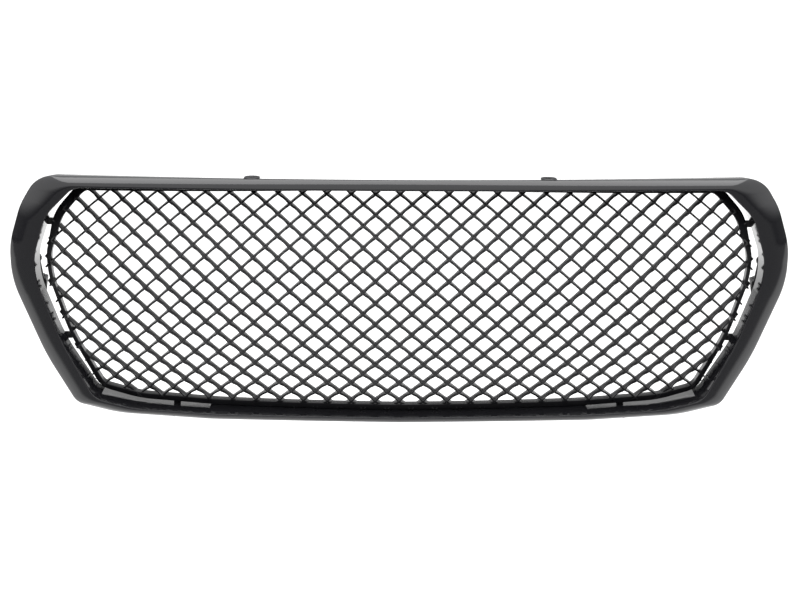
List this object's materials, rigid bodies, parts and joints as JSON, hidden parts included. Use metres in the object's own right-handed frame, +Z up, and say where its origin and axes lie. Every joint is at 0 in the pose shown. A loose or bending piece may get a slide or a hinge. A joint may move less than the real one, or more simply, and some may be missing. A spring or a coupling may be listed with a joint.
{
  "type": "front grille",
  "caption": "Wide gloss-black vehicle front grille: a rounded surround with a bowed diamond mesh insert, upper mounting tabs and side supports.",
  "frame": {"origin": "midway between the holes of the two upper mounting tabs, on the tabs' top face", "axes": "+X to the right as seen from the front, -Y towards the viewer in front of the vehicle, +Z up"},
  "size_m": [1.0082, 0.098, 0.3238],
  "materials": {
    "surround_gloss": "gloss black moulded surround",
    "mesh_gloss": "gloss black moulded mesh",
    "screw_zinc": "zinc-plated screws",
    "washer_zinc": "zinc-plated washers",
    "support_black": "grained black bracket plastic",
    "retainer_black": "satin black nylon",
    "clip_steel": "blued spring steel",
    "bumper_rubber": "matt black rubber",
    "nut_steel": "zinc-plated sheet steel"
  },
  "bodies": {
    "grille": {"surround_frame": "surround_gloss", "mesh_insert": "mesh_gloss", "mesh_screws": "screw_zinc", "mesh_washers": "washer_zinc", "side_support_left": "support_black", "side_support_right": "support_black", "side_support_screws": "screw_zinc", "retainer_body_left": "retainer_black", "retainer_body_right": "retainer_black", "lower_clip_outer_left": "clip_steel", "lower_clip_inner_left": "clip_steel", "lower_clip_centre": "clip_steel", "lower_clip_inner_right": "clip_steel", "lower_clip_outer_right": "clip_steel", "bumper_left": "bumper_rubber", "bumper_right": "bumper_rubber", "side_nut_left": "nut_steel", "side_nut_right": "nut_steel"},
    "pin_left": {"retainer_pin_left": "retainer_black"},
    "pin_right": {"retainer_pin_right": "retainer_black"}
  },
  "joints": [
    {"name": "retainer_left_slide", "type": "slide", "parent": "grille", "child": "pin_left", "axis": [0, 0, 1], "range_m": [0, 0.006]},
    {"name": "retainer_right_slide", "type": "slide", "parent": "grille", "child": "pin_right", "axis": [0, 0, 1], "range_m": [0, 0.006]}
  ]
}
